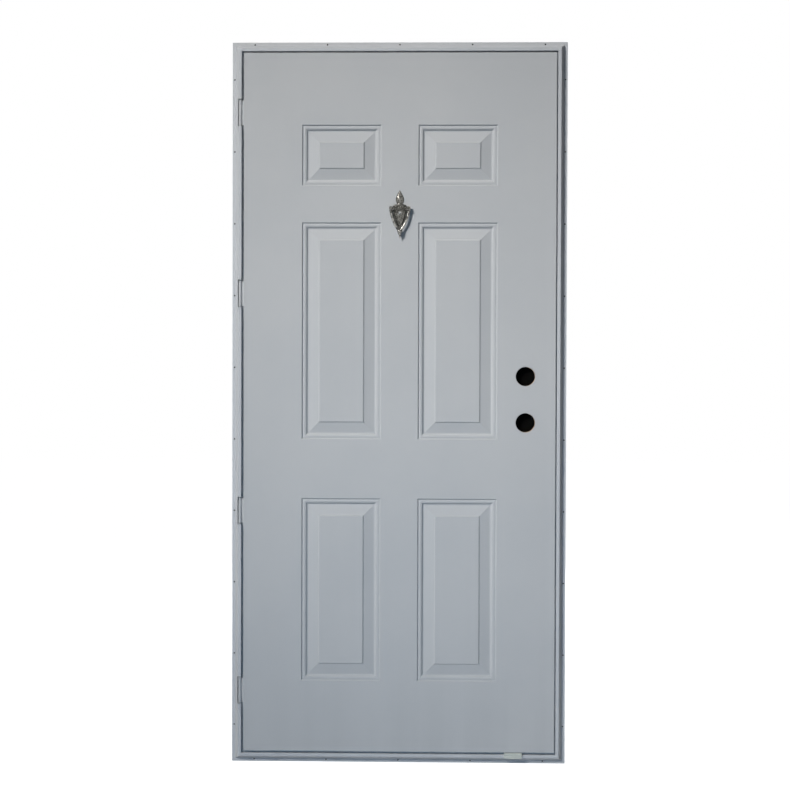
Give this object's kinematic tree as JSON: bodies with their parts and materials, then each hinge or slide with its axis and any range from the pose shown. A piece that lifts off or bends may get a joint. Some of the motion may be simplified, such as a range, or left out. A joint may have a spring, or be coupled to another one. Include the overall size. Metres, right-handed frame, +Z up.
{
  "type": "panelled door",
  "caption": "Outward-opening panelled steel door in an extruded frame with a nailing fin, open lock bores, butt hinges and a hinged door knocker.",
  "frame": {"origin": "on the wall plane, at the middle of the bottom edge of the nailing fin's back", "axes": "+X to the right seen from outside, +Y into the house, +Z up"},
  "size_m": [0.938, 0.1401, 2.022],
  "materials": {
    "door_paint": "satin pale grey enamel on embossed sheet steel",
    "frame_paint": "satin pale grey enamel on extruded aluminium",
    "hinge_steel": "pale grey enamelled steel",
    "zinc_steel": "bright zinc plating",
    "key_aluminium": "mill finish",
    "seal_rubber": "matt black",
    "edge_wood": "sawn softwood",
    "core_foam": "rigid foam",
    "weep_plastic": "satin pale moulding",
    "knocker_chrome": "polished chrome plating",
    "lens_glass": "clear lens"
  },
  "bodies": {
    "frame": {"hinge_jamb": "frame_paint", "strike_jamb": "frame_paint", "head": "frame_paint", "sill": "frame_paint", "weep_cover": "weep_plastic", "hinge_frame_screws": "zinc_steel", "corner_key_1": "key_aluminium", "corner_key_2": "key_aluminium", "corner_key_3": "key_aluminium", "corner_key_4": "key_aluminium", "weatherstrip_hinge": "seal_rubber", "weatherstrip_strike": "seal_rubber", "weatherstrip_head": "seal_rubber", "weatherstrip_sill": "seal_rubber", "hinge_1_frame_leaf": "hinge_steel", "hinge_2_frame_leaf": "hinge_steel", "hinge_3_frame_leaf": "hinge_steel", "hinge_4_frame_leaf": "hinge_steel", "hinge_1_pin": "zinc_steel", "hinge_2_pin": "zinc_steel", "hinge_3_pin": "zinc_steel", "hinge_4_pin": "zinc_steel"},
    "door": {"exterior_skin": "door_paint", "interior_skin": "door_paint", "foam_core": "core_foam", "lock_block": "edge_wood", "hinge_stile": "edge_wood", "lock_stile": "edge_wood", "top_rail": "edge_wood", "bottom_rail": "edge_wood", "hinge_lip": "edge_wood", "lock_lip": "edge_wood", "top_lip": "edge_wood", "bottom_lip": "edge_wood", "hinge_door_screws": "zinc_steel", "hinge_1_door_leaf": "hinge_steel", "hinge_2_door_leaf": "hinge_steel", "hinge_3_door_leaf": "hinge_steel", "hinge_4_door_leaf": "hinge_steel", "knocker_base": "knocker_chrome", "knocker_pivot_pin": "knocker_chrome", "knocker_bolts": "zinc_steel", "viewer_barrel": "knocker_chrome", "viewer_lens": "lens_glass", "viewer_eyepiece": "knocker_chrome"},
    "striker": {"knocker_striker": "knocker_chrome"}
  },
  "joints": [
    {"name": "door_swing", "type": "hinge", "parent": "frame", "child": "door", "pos_m": [-0.4457, -0.012, 1.011], "axis": [0, 0, -1], "range_deg": [0, 110]},
    {"name": "striker_lift", "type": "hinge", "parent": "door", "child": "striker", "pos_m": [0.0013, -0.029, 1.55376], "axis": [-1, 0, 0], "range_deg": [0, 90]}
  ]
}
